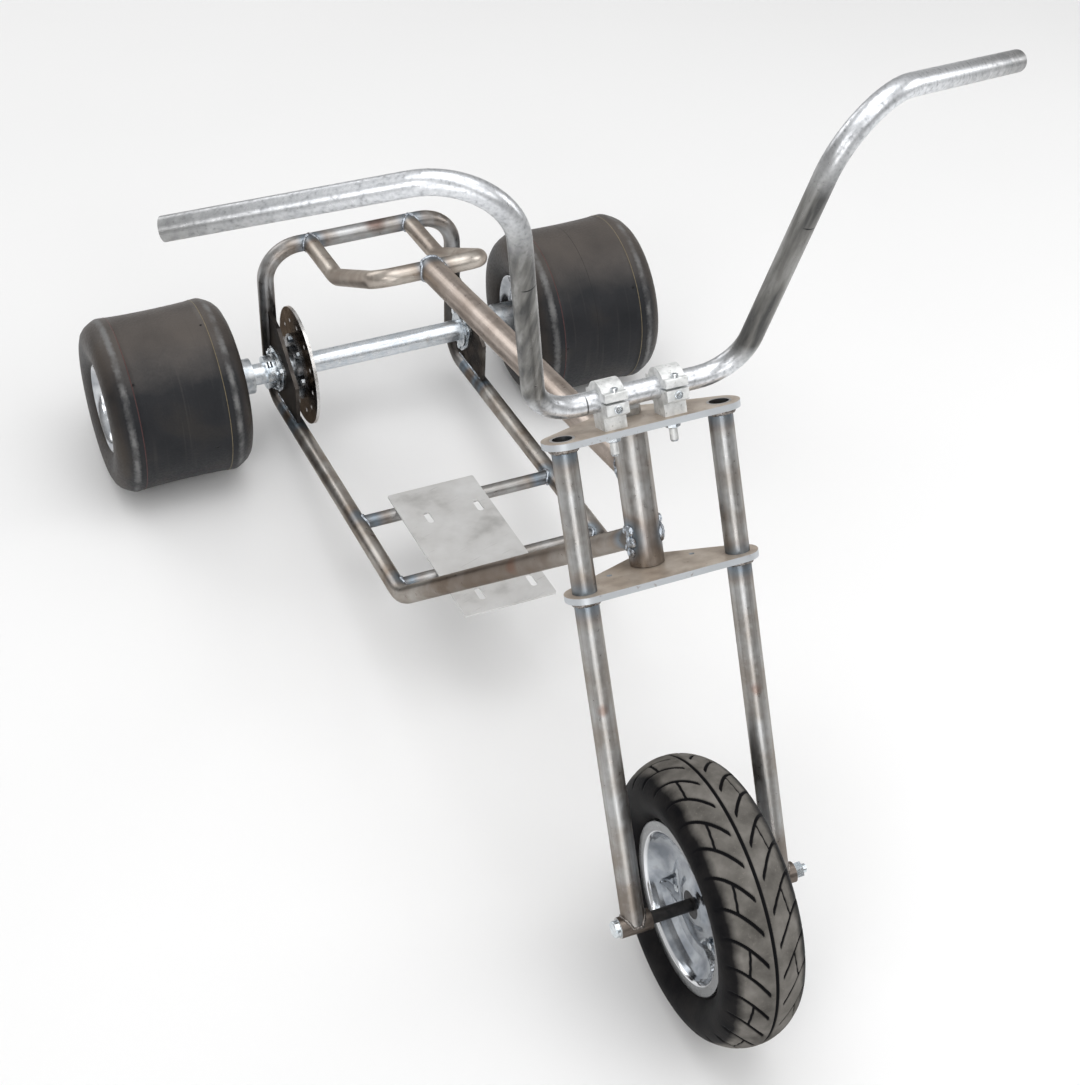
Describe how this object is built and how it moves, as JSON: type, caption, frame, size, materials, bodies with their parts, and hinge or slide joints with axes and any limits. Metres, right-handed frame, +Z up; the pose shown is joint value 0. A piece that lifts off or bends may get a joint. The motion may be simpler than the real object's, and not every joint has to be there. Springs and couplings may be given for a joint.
{
  "type": "motor trike rolling chassis",
  "caption": "Bare steel rolling chassis of a low motor trike: bent-tube frame with engine plate, live rear axle on wide slicks with a brake disc, raked fork with tall bar and scooter wheel.",
  "frame": {"origin": "on the floor, under the middle of the whole trike", "axes": "+Z up, -Y forward, +X to the rider's left"},
  "size_m": [1.0322, 1.5589, 1.1371],
  "materials": {
    "tube": "bare mill-scale steel tube with heat tint at the welds",
    "plate": "bare pale sheet",
    "crown_plate": "bare cut plate",
    "fork_tube": "bare drawn tube",
    "bar_tube": "bare bright tube",
    "zinc": "bright zinc plate",
    "cast_aluminium": "cast, satin",
    "polished_aluminium": "polished",
    "disc_steel": "dark ground steel",
    "black_steel": "black",
    "slick": "worn slick rubber",
    "road_tyre": "dusty rubber"
  },
  "bodies": {
    "frame": {"head_tube": "tube", "head_bearings": "tube", "backbone": "tube", "side_tube_right": "tube", "side_tube_left": "tube", "rear_hoop": "tube", "seat_loop": "tube", "cross_tube_rear": "tube", "cross_tube_front": "tube", "axle_hanger_right": "tube", "axle_hanger_left": "tube", "engine_plate": "plate", "bearing_right": "zinc", "bearing_left": "zinc"},
    "steering": {"steering_stem": "zinc", "crown_upper": "crown_plate", "crown_lower": "crown_plate", "fork_leg_right": "fork_tube", "fork_leg_left": "fork_tube", "fork_boss_right": "fork_tube", "fork_boss_left": "fork_tube", "handlebar": "bar_tube", "bar_clamp_right": "cast_aluminium", "bar_clamp_left": "cast_aluminium", "front_axle": "zinc", "axle_nut": "zinc", "axle_spacer_right": "black_steel", "axle_spacer_left": "black_steel"},
    "front_wheel": {"front_tyre": "road_tyre", "front_rim_right": "polished_aluminium", "front_rim_left": "polished_aluminium", "front_hub": "polished_aluminium"},
    "rear_axle_set": {"rear_axle": "zinc", "rear_tyre_right": "slick", "rear_tyre_left": "slick", "rear_rim_right": "polished_aluminium", "rear_rim_left": "polished_aluminium", "wheel_hub_right": "cast_aluminium", "wheel_hub_left": "cast_aluminium", "lock_collar_right": "zinc", "lock_collar_left": "zinc", "brake_disc": "disc_steel", "disc_hub": "cast_aluminium"}
  },
  "joints": [
    {"name": "steering_turn", "type": "hinge", "parent": "frame", "child": "steering", "pos_m": [0, -0.34851, 0.55276], "axis": [0, 0.4726, 0.8813], "range_deg": [-40, 40]},
    {"name": "front_wheel_spin", "type": "hinge", "parent": "steering", "child": "front_wheel", "pos_m": [0, -0.5935, 0.186], "axis": [1, 0, 0], "continuous": true},
    {"name": "rear_axle_spin", "type": "hinge", "parent": "frame", "child": "rear_axle_set", "pos_m": [0, 0.6395, 0.14], "axis": [1, 0, 0], "continuous": true}
  ]
}
